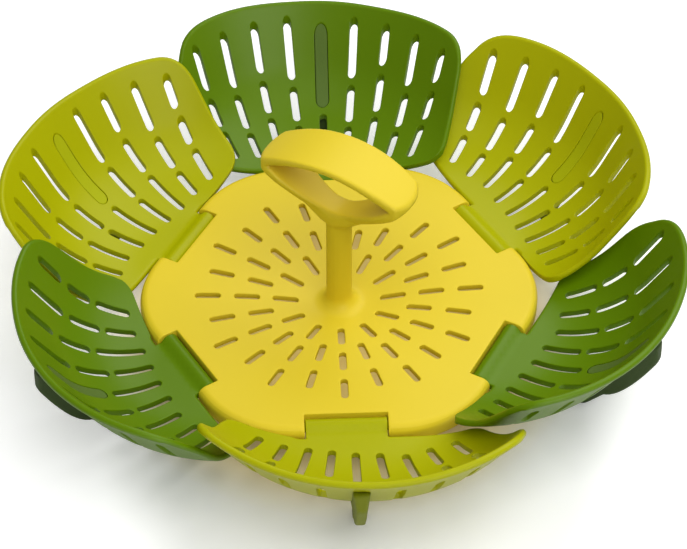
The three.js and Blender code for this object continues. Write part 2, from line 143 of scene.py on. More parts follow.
def softMax(a, b, reach):
    # the larger of two values, rounded off where they are within reach of each other
    mix = np.clip(0.5 + 0.5 * (a - b) / reach, 0.0, 1.0)
    return b + (a - b) * mix + reach * mix * (1.0 - mix)


def softMin(a, b, reach):
    return -softMax(-a, -b, reach)


def outlineDistance(points, loop):
    # signed distance of plan points to a closed outline, negative inside
    best = np.full(len(points), 1e9)
    inside = np.zeros(len(points), bool)
    for a, b in zip(loop, np.roll(loop, -1, axis=0)):
        edge = b - a
        share = np.clip((points - a) @ edge / max(edge @ edge, 1e-12), 0.0, 1.0)
        best = np.minimum(best, np.sum((points - a - share[:, None] * edge) ** 2, axis=1))
        crosses = (a[1] > points[:, 1]) != (b[1] > points[:, 1])
        if a[1] != b[1]:
            inside ^= crosses & (points[:, 0] < a[0] + (points[:, 1] - a[1]) * edge[0] / edge[1])
    return np.sqrt(best) * np.where(inside, -1.0, 1.0)


def outwards(loop):
    # plan normals of a closed loop that has its material on the left, pointing out of the material
    along = np.roll(loop, -1, axis=0) - np.roll(loop, 1, axis=0)
    along /= np.linalg.norm(along, axis=1, keepdims=True)
    return np.stack([along[:, 1], -along[:, 0]], axis=1)


def slotLoop(start, end, width, ends=8, spacing=2.4):
    # a slot with round ends, clockwise, so that the material is on its left
    start, end = np.asarray(start, float), np.asarray(end, float)
    length = np.linalg.norm(end - start) - width
    along = (end - start) / np.linalg.norm(end - start)
    side = np.array([-along[1], along[0]])
    turn = np.linspace(np.pi / 2, -np.pi / 2, ends + 1)[:, None]
    cap = (np.cos(turn) * along + np.sin(turn) * side) * width / 2
    run = np.linspace(0, 1, max(2, int(length / spacing) + 1) + 1)[1:-1, None] * length
    near, far = start + along * width / 2, end - along * width / 2
    return np.concatenate([
        far + cap,
        far - side * width / 2 - along * run,
        near - cap,
        near + side * width / 2 + along * run,
    ])


def lattice(low, high, spacing):
    # plan points in a lattice of triangles over a box; a triangle's height is 0.866 of its side
    rows = np.arange(low[1], high[1], spacing * 0.866)
    columns = np.arange(low[0], high[0], spacing)
    x, y = np.meshgrid(columns, rows)
    x = x + (np.arange(len(rows)) % 2)[:, None] * spacing / 2
    return np.stack([x.ravel(), y.ravel()], axis=1)


def skinTriangles(loops, seeds):
    # triangles of the area inside the first loop and outside the others, through the seeds
    points = np.concatenate([*loops, seeds])
    edges, start = [], 0
    for loop in loops:
        i = np.arange(len(loop))
        edges.append(np.stack([i, (i + 1) % len(loop)], axis=1) + start)
        start += len(loop)
    edges = np.concatenate(edges).tolist()
    found = delaunay_2d_cdt([Vector(p) for p in points.tolist()], edges, [], 2, 1e-6, False)
    if len(found[0]) != len(points):
        raise ValueError(f"the skin's loops cross: {len(points)} points in, {len(found[0])} out")
    owner = [np.full(len(loop), k) for k, loop in enumerate(loops)]
    owner = np.concatenate([*owner, np.full(len(seeds), -1)])
    triangles = np.array(found[2])
    corners = owner[triangles]
    filling = (corners[:, 0] > 0) & (corners == corners[:, :1]).all(axis=1)
    middles = points[triangles].mean(axis=1)
    rim = (corners == 0).all(axis=1)
    filling[rim] = outlineDistance(middles[rim], loops[0]) > 0
    triangles = triangles[~filling]     # not the ones across a slot or a hollow of the outline
    a, b, c = (points[triangles[:, k]] for k in range(3))
    area = (b[:, 0] - a[:, 0]) * (c[:, 1] - a[:, 1]) - (b[:, 1] - a[:, 1]) * (c[:, 0] - a[:, 0])
    triangles[area < 0] = triangles[area < 0][:, ::-1]
    return triangles


def clearSeeds(seeds, loops, gap):
    # the seeds that lie inside the first loop and outside the others, no nearer than gap
    seeds = seeds[outlineDistance(seeds, loops[0]) < -gap]
    for loop in loops[1:]:
        near = np.linalg.norm(seeds - loop.mean(axis=0), axis=1) < np.ptp(loop, axis=0).max() + gap
        distance = np.full(len(seeds), 1e9)
        distance[near] = outlineDistance(seeds[near], loop)
        seeds = seeds[distance > gap]
    return seeds


def roundRings(size):
    # insets and drops of the rings round an edge: one on the skin beside it, then a quarter circle
    turn = np.linspace(0, np.pi / 2, 5)
    insets = [size + 0.3] + [size * (1 - math.sin(t)) for t in turn]
    drops = [0 * size] + [size * (1 - math.cos(t)) for t in turn]
    return insets, drops


# A punched shell: skins at depth 0 and 1 between loops, and a rounded edge carried round each loop.
# place(plan, depth) gives the point; each edge is a loop and the size of its round, and the profile
# leaves the skin there, turns a quarter circle, runs through the wall and turns again.

def punchedShell(edges, place, spacing):
    loops, parts = [], []
    for loop, size in edges:
        out = outwards(loop)
        steep = np.sum(bowlSlope(loop) * out, axis=1)
        narrow = 1.0 / np.sqrt(1.0 + steep ** 2)
        thick = np.linalg.norm(place(loop, np.ones(len(loop))) - place(loop, np.zeros(len(loop))), axis=1)
        insets, drops = roundRings(np.minimum(size, 0.48 * thick))
        plans = [loop - out * (d * narrow)[:, None] for d in insets]
        rings = [place(p, d / thick) for p, d in zip(plans, drops)]
        rings += [place(p, 1 - d / thick) for p, d in zip(plans[::-1], drops[::-1])]
        loops.append(plans[0])
        parts.append(rings)
    seeds = lattice(loops[0].min(axis=0), loops[0].max(axis=0), spacing)
    seeds = clearSeeds(seeds, loops, spacing * 0.45)
    triangles = skinTriangles(loops, seeds)
    points = [*[rings[0] for rings in parts], place(seeds, np.zeros(len(seeds)))]
    points += [*[rings[-1] for rings in parts], place(seeds, np.ones(len(seeds)))]
    count = sum(map(len, loops)) + len(seeds)
    faces = [triangles, triangles[:, ::-1] + count]
    start, used = 2 * count, 0
    for rings in parts:
        around = np.arange(len(rings[0])) + used
        middle = np.concatenate(rings[1:-1])
        ids = np.concatenate([around, np.arange(len(middle)) + start, around + count])
        points.append(middle)
        faces.append(ids[ringFaces(len(rings), len(around))][:, ::-1])
        start += len(middle)
        used += len(around)
    return np.concatenate(points), faces


# Petal: a slice of a bowl whose axis stands beside the plate's own. Plan points are (along the
# hinge line's normal, along the hinge), and a height over them is the bowl's profile.

petal = {
    "axis": (51.8, 6.85),
    "floor": -2.6,
    "flatRadius": 24.0,
    "blendRadius": 42.0,
    "wallAngle": math.radians(59.0),
    "wall": 2.2,            # by the rim
    "hingeWall": 2.7,
    "rimRadius": 70.6,
    "inner": 68.3,
    "lip": 0.34,
    "lipPlan": 1.5,         # width of the lip, seen from above
    "lipBlend": 0.3,
    "edgeRound": 1.2,
    "squareBand": (0.9, 2.9),       # from the edge: where the wall's two faces stop being square
    "slotRound": 0.3,
    "slotWidth": 3.2,       # by the rim
    "hingeSlotWidth": 2.6,
    "slotRib": 1.9,
    "rimBand": 2.4,         # between the slots and the rim
    "fanOrigin": 7.0,
    "fanPitch": math.radians(6.7),
    "leftRim": math.radians(30.5),
    "leftWing": (89.1, 58.9),
    "leftHeel": (68.5, 45.8),
    "leftSlope": -0.2,
    "rightRim": math.radians(-45.5),
    "rightFlank": (91.6, -50.4),
    "rightHeel": (64.6, -41.9),
    "cornerRound": 8.5,
    "cornerRise": 0.8,      # the rim stands this much further out by its two corners
    "wingRound": 7.0,
    "heelRound": 4.0,
    "rightHeelRound": 6.5,
    "cheek": 16.9,          # half the opening for the plate's notch
    "cheekRound": 1.0,
    "tongueRound": 0.8,
    "tipRound": 0.9,
    "lean": math.radians(1.0),      # how far the petal stands up about its hinge
    "spacing": 2.0,
}

barrel = {
    "radius": 3.1,
    "middle": (63.0, -3.4),
    "half": 14.15,
    "wrap": math.radians(84.0),     # how far each skin follows the barrel before the two meet
    "blend": 1.6,
    "fade": 4.0,            # how fast its swell sinks into the petal's faces
    "sideFade": 6.0,
    "edgeRound": 0.3,
    "pinRadius": 1.6,
    "pinReach": 16.1,
    "pinBevel": 0.3,
    "pinPoint": 0.02,
}

barrelRun = barrel["radius"] * math.pi / 2
barrelTip = barrel["middle"][0] - barrel["radius"] * barrel["wrap"]

# columns of the fan, by their step from the middle: where the slots start, are broken by ribs and
# end, as shares of the way from the inner edge to the rim
slotColumns = {
    4: (0.285, 0.545, 0.769, 1.0),
    3: (0.23, 0.471, 0.735, 1.0),
    2: (0.216, 0.541, 0.771, 1.0),
    1: (0.163, 0.455, 0.716, 1.0),
    0: (0.144, 0.513),
    -1: (0.13, 0.44, 0.72, 1.0),
    -2: (0.141, 0.535, 0.799, 1.0),
    -3: (0.188, 0.453, 0.731, 1.0),
    -4: (0.242, 0.559, 0.792, 1.0),
}


def bowlRadius(plan):
    return np.linalg.norm(plan - petal["axis"], axis=1)


def wallAt(plan):
    # the wall gets thinner from the bowl's floor to its rim
    share = smoothStep(bowlRadius(plan), petal["flatRadius"], petal["rimRadius"])
    return petal["hingeWall"] + (petal["wall"] - petal["hingeWall"]) * share


def bowlHeight(plan, out):
    # flat floor, then an arc, then a straight wall, all moved outwards by out
    angle = petal["wallAngle"]
    arc = petal["blendRadius"] + out
    run = np.clip(bowlRadius(plan) - petal["flatRadius"], 0.0, None)
    bent = np.minimum(run, arc * math.sin(angle))
    centre = petal["floor"] + petal["blendRadius"]
    return centre - np.sqrt(arc ** 2 - bent ** 2) + (run - bent) * math.tan(angle)


def bowlSteepness(plan):
    # sine of the surface's slope, and the plan direction in which it climbs
    offset = plan - petal["axis"]
    radius = np.linalg.norm(offset, axis=1)
    sine = np.clip((radius - petal["flatRadius"]) / (petal["blendRadius"] + petal["wall"] / 2), 0.0,
                   math.sin(petal["wallAngle"]))
    return sine, offset / np.maximum(radius, 1e-9)[:, None]


def bowlSlope(plan):
    sine, climb = bowlSteepness(plan)
    return climb * (sine / np.sqrt(1 - sine ** 2))[:, None]


def corner(before, at, after, size, count):
    # a corner rounded by a quadratic curve, over size on each side
    before, at, after = (np.asarray(p, float) for p in (before, at, after))
    first = at + (before - at) / np.linalg.norm(before - at) * size
    last = at + (after - at) / np.linalg.norm(after - at) * size
    return curved(first, at, last, count)


def curved(first, at, last, count):
    t = np.linspace(0, 1, count + 1)[:, None]
    return (1 - t) ** 2 * first + 2 * t * (1 - t) * at + t ** 2 * last


def filled(points, spacing):
    # a closed outline with no side longer than spacing
    out = []
    for a, b in zip(points, np.roll(points, -1, axis=0)):
        steps = max(1, math.ceil(np.linalg.norm(b - a) / spacing))
        out.append(a + (b - a) * (np.arange(steps) / steps)[:, None])
    return np.concatenate(out)


def rimReach(angles):
    # the rim is a circle about the bowl's axis that widens a little towards both corners
    middle = (petal["leftRim"] + petal["rightRim"]) / 2
    half = (petal["leftRim"] - petal["rightRim"]) / 2
    rise = petal["cornerRise"] * smoothStep(np.abs(angles - middle), 0.25 * half, 0.95 * half)
    return petal["rimRadius"] + petal["wall"] / 2 + rise


def leaveRim(angle, flank, direction):
    # where the rim is left, and the corner that a straight flank makes with its tangent there
    out = np.array([math.cos(angle), math.sin(angle)])
    rim = rimReach(angle)
    run = (rim - (flank - petal["axis"]) @ out) / (direction @ out)
    return petal["axis"] + out * rim, flank + direction * run


def petalOutline():
    # the middle of the wall at the petal's edge, anticlockwise
    p = petal
    wing, heel = np.array(p["leftWing"]), np.array(p["leftHeel"])
    flank, rightHeel = np.array(p["rightFlank"]), np.array(p["rightHeel"])
    shoulder = np.array([1.0, p["leftSlope"]])
    shoulder /= np.linalg.norm(shoulder)
    side = (flank - rightHeel) / np.linalg.norm(flank - rightHeel)
    leftTouch, leftCorner = leaveRim(p["leftRim"], wing, shoulder)
    rightTouch, rightCorner = leaveRim(p["rightRim"], flank, side)
    angles = np.linspace(p["rightRim"], p["leftRim"], 60)
    arc = p["axis"] + rimReach(angles)[:, None] * np.stack([np.cos(angles), np.sin(angles)], axis=1)
    inner, half, cheek = p["inner"], barrel["half"], p["cheek"]
    low, high = (inner, -cheek), (inner, cheek)
    tongueLow, tongueHigh = (inner, -half), (inner, half)
    tipLow, tipHigh = (barrelTip, -half), (barrelTip, half)
    points = np.concatenate([
        corner(tipHigh, tipLow, tongueLow, p["tipRound"], 4),
        corner(tipLow, tongueLow, low, p["tongueRound"], 4),
        corner(tongueLow, low, rightHeel, p["cheekRound"], 2),
        corner(low, rightHeel, flank, p["rightHeelRound"], 8),
        curved(rightCorner - side * p["cornerRound"], rightCorner, rightTouch, 12)[:-1],
        arc,
        curved(leftTouch, leftCorner, leftCorner - shoulder * p["cornerRound"], 12)[1:],
        corner(leftCorner, wing, heel, p["wingRound"], 8),
        corner(wing, heel, high, p["heelRound"], 6),
        corner(heel, high, tongueHigh, p["cheekRound"], 2),
        corner(high, tongueHigh, tipHigh, p["tongueRound"], 4),
        corner(tongueHigh, tipHigh, tipLow, p["tipRound"], 4),
    ])
    return filled(points, 1.3)


def fanSlots():
    # start, end and width of every slot: columns that fan out from one point, broken by ribs
    ends = []
    origin = np.array([petal["fanOrigin"], basket["skew"]])
    toAxis = petal["axis"] - origin
    inner = petal["inner"] - petal["fanOrigin"]
    reach = petal["rimRadius"] - petal["rimBand"]
    for step, shares in slotColumns.items():
        angle = step * petal["fanPitch"]
        along = np.array([math.cos(angle), math.sin(angle)])
        near = toAxis @ along
        rim = near + math.sqrt(near ** 2 - toAxis @ toAxis + reach ** 2)
        stops = [inner + share * (rim - inner) for share in shares]
        for k in range(len(stops) - 1):
            start = stops[k] + (petal["slotRib"] / 2 if k else 0)
            end = stops[k + 1] - (petal["slotRib"] / 2 if k < len(stops) - 2 else 0)
            share = ((start + end) / 2 - inner) / (rim - inner)
            width = petal["hingeSlotWidth"] + (petal["slotWidth"] - petal["hingeSlotWidth"]) * share
            ends.append((along * start + origin, along * end + origin, width))
    return ends


petalEdge = petalOutline()


def leaned(points, angle):
    # points of a petal turned about its hinge
    x, z = barrel["middle"]
    c, s = math.cos(angle), math.sin(angle)
    out = points.copy()
    out[..., 0] = x + c * (points[..., 0] - x) - s * (points[..., 2] - z)
    out[..., 2] = z + s * (points[..., 0] - x) + c * (points[..., 2] - z)
    return out


def petalPlace(plan, depth):
    # depth 0 is the inner face and 1 the outer. Near the edge the two are square to the wall. The
    # slots' sides are too, and their ends upright. The hinge barrel swells the tongue.
    distance = np.abs(outlineDistance(plan, petalEdge))
    square = 1 - smoothStep(distance, *petal["squareBand"])
    sine, climb = bowlSteepness(plan)
    wall = wallAt(plan)
    shift = climb * (square * sine * wall / 2)[:, None]
    fan = plan - [petal["fanOrigin"], basket["skew"]]
    fan /= np.maximum(np.linalg.norm(fan, axis=1), 1e-9)[:, None]
    sideways = climb - fan * np.sum(climb * fan, axis=1)[:, None]
    sideways *= (0.5 * sine * wall * (1 - square))[:, None]
    lipStart = petal["rimRadius"] + petal["wall"] / 2 - petal["lipPlan"]
    lip = petal["lip"] * smoothStep(bowlRadius(plan), lipStart, lipStart + petal["lipBlend"])
    topPlan, lowPlan = plan - shift, plan + shift + sideways + climb * (lip * sine * square)[:, None]
    top = bowlHeight(topPlan, 0.0)
    low = bowlHeight(lowPlan, wall + lip)
    x, z = barrel["middle"]
    turn = np.clip((x - plan[:, 0]) / barrelRun, 0.0, 1.0) * np.pi / 2
    across = np.where(plan[:, 0] < x, -barrel["radius"] * np.sin(turn), plan[:, 0] - x)
    for moved in (topPlan, lowPlan):
        moved[:, 0] = np.where(plan[:, 0] < x, x + across, moved[:, 0])
    swell = np.sqrt(np.clip(barrel["radius"] ** 2 - across ** 2, 0.0, None))
    aside = np.clip(np.abs(plan[:, 1]) - barrel["half"], 0.0, None) * barrel["sideFade"]
    beyond = np.clip(across - barrel["radius"], 0.0, None) * barrel["fade"] + aside
    top = np.where(across < 0, z + swell, softMax(top, z + swell - beyond, barrel["blend"]))
    low = np.where(across < 0, z - swell, softMin(low, z - swell + beyond, barrel["blend"]))
    upper = np.column_stack([topPlan, top])
    lower = np.column_stack([lowPlan, low])
    return leaned(upper + (lower - upper) * depth[:, None], petal["lean"])


def hingePin(low, high, count=20):
    # a short closed pin along the hinge, bevelled at both ends
    x, z = barrel["middle"]
    radius, bevel, point = barrel["pinRadius"], barrel["pinBevel"], barrel["pinPoint"]
    turn = np.arange(count) * 2 * np.pi / count
    stops = [(low, point), (low, radius - bevel), (low + bevel, radius),
             (high - bevel, radius), (high, radius - bevel), (high, point)]
    rings = [np.column_stack([x + r * np.cos(turn), np.full(count, y), z + r * np.sin(turn)])
             for y, r in stops]
    cap = np.arange(count)[None, :]
    endCap = (cap + (len(stops) - 1) * count)[:, ::-1]
    return np.concatenate(rings), [ringFaces(len(stops), count)[:, ::-1], cap, endCap]


# Plug: the oval inlay of the foot, nearly flush inside the petal, with a fine groove round it

plug = {
    "outer": 118.2,
    "length": 21.2,
    "width": 5.2,
    "gap": 0.22,
    "sink": 0.14,
    "depth": 3.0,
    "round": 0.3,
    "holeRound": 0.22,
    "spacing": 1.6,
}


def plugLoop(gap):
    start = (plug["outer"] - plug["length"] + gap, basket["skew"])
    end = (plug["outer"] - gap, basket["skew"])
    return slotLoop(start, end, plug["width"] - 2 * gap, ends=12)


def makePetalShape():
    # rounder on the rim and the flanks than along the tongue's sides, with slots and the plug's hole
    tongue = petalEdge[:, 0] < petal["inner"] - 0.3
    edges = [(petalEdge, np.where(tongue, barrel["edgeRound"], petal["edgeRound"]))]
    edges += [(slotLoop(*ends), petal["slotRound"]) for ends in fanSlots()]
    edges.append((plugLoop(0), plug["holeRound"]))
    shell = punchedShell(edges, petalPlace, petal["spacing"])
    half, reach = barrel["half"], barrel["pinReach"]
    return joined([shell, hingePin(-reach, -half), hingePin(half, reach)])


def plugPlace(plan, depth):
    top = bowlHeight(plan, 0.0) - plug["sink"]
    return leaned(np.column_stack([plan, top - plug["depth"] * depth]), petal["lean"])


def makePlugShape():
    return punchedShell([(plugLoop(plug["gap"])[::-1], plug["round"])], plugPlace, plug["spacing"])


# Fin: the soft foot under the petal, thick where it leaves the petal and thinner at its edge

fin = {
    "heel": 91.0,
    "heelRound": 1.2,
    "heelLean": 5.3,
    "heelHeight": 12.0,
    "pad": 5.0,             # the flat that stands on the floor
    "padRound": 1.5,
    "kneeShare": 0.3,       # of the way from the pad to the knee, where the pad's round ends
    "knee": (13.2, 8.6),
    "belly": (20.4, 10.4),
    "toe": (31.5, 34.0),
    "toeRound": 1.1,
    "top": (30.9, 41.6),
    "rootHalf": 3.0,
    "edgeHalf": 1.9,
    "draft": 0.2,
    "soft": 1.1,
    "sunk": 0.35,
    "step": 0.6,
}


def finOutline():
    # from the side, with heights above the floor: heel, pad, knee, a belly that follows the bowl, toe
    f, share = fin, fin["kneeShare"]
    knee, toe, top = (np.array(f[name]) for name in ("knee", "toe", "top"))
    padEnd = np.array([f["heelRound"] + f["pad"], 0])
    low = curved(padEnd - [f["padRound"], 0], padEnd, knee * share + padEnd * (1 - share), 5)
    belly = curved(knee, f["belly"], toe, 20)
    belly = belly[np.linalg.norm(belly - toe, axis=1) > f["toeRound"]]
    up = toe + (top - toe) * f["toeRound"] / np.linalg.norm(top - toe)
    return np.concatenate([
        curved((f["heelLean"] * 0.15, 2.0), (0, 0), (f["heelRound"] + 1, 0), 6),
        low,
        belly,
        curved(belly[-1], toe, up, 6),
        [top, (f["heelLean"], top[1]), (f["heelLean"], f["heelHeight"])],
    ])


def makeFinShape():
    # inside the outline, between two sides that close in away from the petal, and below the petal
    f, skew, floor = fin, basket["skew"], -basket["rimHeight"]
    low = np.array([f["heel"] - 2, skew - 5, floor - 1.5])
    high = np.array([f["heel"] + f["toe"][0] + 2, skew + 5, f["top"][1] + floor + 2])
    run, across, up = (np.arange(low[k], high[k], f["step"]) for k in range(3))
    side = onGrid(run - f["heel"], up - floor, finOutline())
    grid = np.stack(np.meshgrid(run, across, up, indexing="ij"), axis=-1)
    level = leaned(grid, -petal["lean"]).reshape(-1, 3)
    plan = level[:, :2]
    below = bowlHeight(plan, wallAt(plan)) - level[:, 2]
    below = (below * np.sqrt(1 - bowlSteepness(plan)[0] ** 2)).reshape(grid.shape[:3])
    half = np.clip(f["rootHalf"] - f["draft"] * below, f["edgeHalf"], f["rootHalf"])
    body = softMax(side[:, None, :], np.abs(across - skew)[None, :, None] - half, f["soft"])
    body = np.maximum(body, -below - f["sunk"])
    return fieldSurface(body, low, f["step"])


# Screw under the hub: a pan head with a cross recess

screw = {
    "seat": 3.6,            # below the hub's top
    "radius": 1.75,
    "headRadius": 3.6,
    "headHeight": 2.1,
    "headRound": 0.7,
    "seatRound": 0.25,
    "shank": 2.2,           # the part of it that is made
    "crown": 7.0,
    "recess": 1.3,
    "recessHalf": 0.55,
    "recessReach": 2.1,
    "recessTaper": 0.25,
    "step": 0.16,
}


def makeScrewShape():
    s = screw
    seat = dishHeight(np.zeros((1, 2)))[0] - s["seat"]
    reach, bottom = s["headRadius"] + 0.5, seat - s["headHeight"]
    low = np.array([-reach, -reach, bottom - 0.5])
    high = np.array([reach, reach, seat + 2.5])
    x, y, z = np.meshgrid(*(np.arange(low[k], high[k], s["step"]) for k in range(3)), indexing="ij")
    radius = np.hypot(x, y)
    ball = np.sqrt(radius ** 2 + (z - seat + s["headHeight"] - s["crown"]) ** 2) - s["crown"]
    head = softMax(softMax(radius - s["headRadius"], ball, s["headRound"]), z - seat, s["seatRound"])
    shank = np.maximum(np.maximum(radius - s["radius"], z - seat - s["shank"]), seat - z)
    bars = [np.maximum(np.abs(a) - s["recessHalf"], np.abs(b) - s["recessReach"])
            for a, b in ((x, y), (y, x))]
    cross = np.minimum(*bars) + s["recessTaper"] * (z - bottom)
    cross = np.maximum(cross, z - bottom - s["recess"])
    return fieldSurface(np.maximum(np.minimum(head, shank), -cross), low, s["step"])


# Base plate: a rounded hexagon with a rolled edge, six notches, a shallow dish and rings of slots

plate = {
    "halfFlats": 67.5,
    "cornerRadius": 36.8,
    "wall": 2.4,
    "roll": 3.0,
    "skirt": 7.0,
    "dishRadius": 59.0,
    "dishDepth": 7.4,
    "hubRadius": 10.0,
    "notchHalf": 14.5,
    "notchInner": 59.55,
    "notchRound": 0.35,
    "arcSteps": 26,
    # rings down the outside and up again inside, each an inset and a height
    "topRings": ((0.9, 0), (0.35, 0), (0.24, -0.04), (0.12, -0.1), (0.04, -0.2), (0, -0.4)),
    "footRings": ((0, 0.4), (0.1, 0.12), (0.4, 0), (1.9, 0), (2.15, 0.1)),
    "underRings": ((2.3, -0.9), (2.4, -0.3), (2.7, 0)),
    "rollRings": (3.0, 2.6, 2.2, 1.8, 1.4, 1.05, 0.75),         # points that carry the rolled edge
    "hubRings": (2.0, 4.0, 5.2, 5.8, 6.1, 6.4, 6.7, 7.1, 7.5, 8.0, 8.5, 9.1, 9.8, 10.8),
    "slotLength": 9.4,
    "slotWidth": 2.5,
    "slotRound": 0.35,
    "slotRings": 12,
    "wideRows": (0.2889, 0.4963, 0.7067),       # of halfFlats, on the hinge and corner lines
    "betweenRows": (0.437, 0.6519),
    "bossRadius": 7.5,
    "bossDepth": 3.6,
    "spacing": 3.0,
}


def plateLoop(inset, notched=True):
    # the plate's outline, anticlockwise, moved inwards; every inset has as many points
    p = plate
    flat = p["halfFlats"] - inset
    half = p["notchHalf"] + inset
    deep = p["notchInner"] - inset
    small = max(p["notchRound"] - inset, 0.04)
    wide = p["notchRound"] + inset
    flank = np.concatenate([
        curved((flat, -half - small), (flat, -half), (flat - small, -half), 3),
        np.column_stack([np.linspace(flat - 1.0, deep + 3.3, 4), np.full(4, -half)]),
        curved((deep + wide, -half), (deep, -half), (deep, -half + wide), 3),
    ])
    back = np.column_stack([np.full(11, deep), np.linspace(-half + 3.4, half - 3.4, 11)])
    radius = p["cornerRadius"] - inset
    centre = (p["halfFlats"] - p["cornerRadius"]) / math.cos(math.pi / 6)
    angles = np.pi / 6 + np.radians(np.linspace(-30, 30, p["arcSteps"]))
    side = np.column_stack([centre * math.cos(np.pi / 6) + radius * np.cos(angles),
                            centre * math.sin(np.pi / 6) + radius * np.sin(angles)])
    if notched:
        side = np.concatenate([flank, back, flank[::-1] * [1, -1], side])
    return np.concatenate([turned(side, petalTurn(1) + k * math.pi / 3) for k in range(6)])


def flatsDistance(plan):
    # how far a plan point lies inside the rounded hexagon without its notches
    angle = np.arctan2(plan[:, 1], plan[:, 0]) - petalTurn(1)
    angle = (angle + np.pi / 6) % (np.pi / 3) - np.pi / 6
    radius = np.linalg.norm(plan, axis=1)
    apothem = plate["halfFlats"] - plate["cornerRadius"]
    past = radius * np.cos(angle) - apothem
    aside = np.clip(np.abs(radius * np.sin(angle)) - apothem * math.tan(math.pi / 6), 0.0, None)
    return plate["cornerRadius"] - np.where(past > 0, np.hypot(past, aside), past)


def dishHeight(plan):
    # a dish that sinks with the square of the way in, and levels off by the hub
    radius = np.linalg.norm(plan, axis=1)
    radius = np.minimum(softMax(radius, plate["hubRadius"] - 0.4, 3.0), plate["dishRadius"])
    return -plate["dishDepth"] * (1 - radius / plate["dishRadius"]) ** 2


def plateHeight(plan):
    # the dish, a rolled outer edge, and the foot of the fillet that runs up into the stem
    inside = np.clip(flatsDistance(plan), 0.0, plate["roll"])
    roll = np.sqrt(plate["roll"] ** 2 - (plate["roll"] - inside) ** 2) - plate["roll"]
    within = np.clip(handle["stem"] + handle["flare"] - np.linalg.norm(plan, axis=1), 0.0,
                     handle["filletRun"] + handle["lap"])
    return dishHeight(plan) + roll + handle["flare"] - np.sqrt(handle["flare"] ** 2 - within ** 2)


def plateFoot(plan):
    return np.full(len(plan), -plate["skirt"])


def plateUnder(plan):
    # a wall below the top, and a boss under the hub
    radius = np.linalg.norm(plan, axis=1)
    boss = smoothStep(-radius, -plate["bossRadius"] - 0.4, 0.4 - plate["bossRadius"])
    return dishHeight(plan) - plate["wall"] - (plate["bossDepth"] - plate["wall"]) * boss


def plateSlots():
    # rays of short slots, with two and three of them by turns
    loops = []
    for k in range(2 * plate["slotRings"]):
        angle = k * math.pi / plate["slotRings"]
        along = np.array([math.cos(angle), math.sin(angle)])
        for share in plate["betweenRows"] if k % 2 else plate["wideRows"]:
            middle, half = share * plate["halfFlats"], plate["slotLength"] / 2
            loops.append(slotLoop(along * (middle - half), along * (middle + half), plate["slotWidth"]))
    return loops


def makePlateShape():
    # rings go from the top skin over the edge, down the skirt and up again behind it to the under skin
    rings = []
    for name, height in (("topRings", plateHeight), ("footRings", plateFoot), ("underRings", plateUnder)):
        for inset, above in plate[name]:
            plan = plateLoop(inset)
            rings.append(np.column_stack([plan, height(plan) + above]))
    outer, pocket = plateLoop(plate["topRings"][0][0]), plateLoop(plate["underRings"][-1][0])
    slots, walls = [], [rings]
    insets, drops = roundRings(plate["slotRound"])
    for loop in plateSlots():
        out = outwards(loop)
        plans = [loop - out * d for d in insets]
        down = [np.column_stack([p, plateHeight(p) - d]) for p, d in zip(plans, drops)]
        up = [np.column_stack([p, plateUnder(p) + d]) for p, d in zip(plans[::-1], drops[::-1])]
        walls.append(down + up)
        slots.append(plans[0])
    seeds = lattice(outer.min(axis=0), outer.max(axis=0), plate["spacing"])
    seeds = seeds[np.linalg.norm(seeds, axis=1) > plate["hubRadius"] + 2]
    hub = np.linspace(0, 2 * np.pi, 49)[:-1]
    hubSeeds = [np.column_stack([r * np.cos(hub), r * np.sin(hub)]) for r in plate["hubRings"]]
    rollSeeds = np.concatenate([filled(plateLoop(inset, False), 1.6) for inset in plate["rollRings"]])
    topLoops, lowLoops = [outer, *slots], [pocket, *slots]
    topSeeds = np.concatenate([clearSeeds(seeds[flatsDistance(seeds) > 4.2], topLoops, 1.2),
                               clearSeeds(rollSeeds, topLoops, 0.25), *hubSeeds])
    lowSeeds = np.concatenate([clearSeeds(seeds, lowLoops, 1.2), *hubSeeds])
    parts = [
        surface(topLoops, topSeeds, plateHeight, False),
        surface(lowLoops, lowSeeds, plateUnder, True),
    ]
    parts += [(np.concatenate(w), [ringFaces(len(w), len(w[0]))[:, ::-1]]) for w in walls]
    return joined(parts)


def surface(loops, seeds, height, under):
    # one skin: a height over the plan inside the first loop, facing down if it lies under the plate
    triangles = skinTriangles(loops, seeds)
    plan = np.concatenate([*loops, seeds])
    return np.column_stack([plan, height(plan)]), [triangles[:, ::-1] if under else triangles]


# Handle: worked out as a field of distances, which rounds each place where two forms meet

handle = {
    "turn": math.radians(-32.0),
    "stem": 4.6,
    "flare": 5.0,
    "filletRun": 3.2,       # part of the flare that belongs to the plate
    "lap": 0.6,             # how far the plate's part goes on under the handle's
    "sunk": 0.8,
    "footHeight": 37.0,
    "footHalf": 5.0,
    "halfLength": 29.6,
    "halfWidth": 10.8,
    "tipHalf": 8.4,
    "wall": 2.8,
    "crown": 67.2,
    "tipHeight": 58.2,
    "tipRound": 3.0,
    "armBend": (8.5, 49.7),         # the bulge of the arms in the end view
    "soft": 1.3,
    "stemSoft": 2.2,        # where the stem runs into the loop
    "gapSoft": 1.6,
    "stemCover": 0.03,      # the stem's foot lies this far over the plate's fillet
    "step": 0.55,
}


def loopOutline():
    # the band from the side: two arms from the stem's top, round tips and an arched top
    h = handle
    tip, end, tall = h["halfLength"] - h["tipRound"], h["halfLength"], h["tipHeight"]
    half = h["tipRound"] / 2
    right = np.concatenate([
        [(h["stem"], h["footHeight"])],
        curved((tip, tall - h["wall"] - half), (end, tall - h["wall"]), (end, tall - half), 6),
        curved((end, tall - half), (end, tall), (tip, tall + half), 6)[1:],
        curved((tip, tall + half), (0, 2 * h["crown"] - tall - half), (-tip, tall + half), 24)[1:12],
    ])
    return np.concatenate([right, [(0.0, h["crown"])], right[::-1] * [-1, 1]])


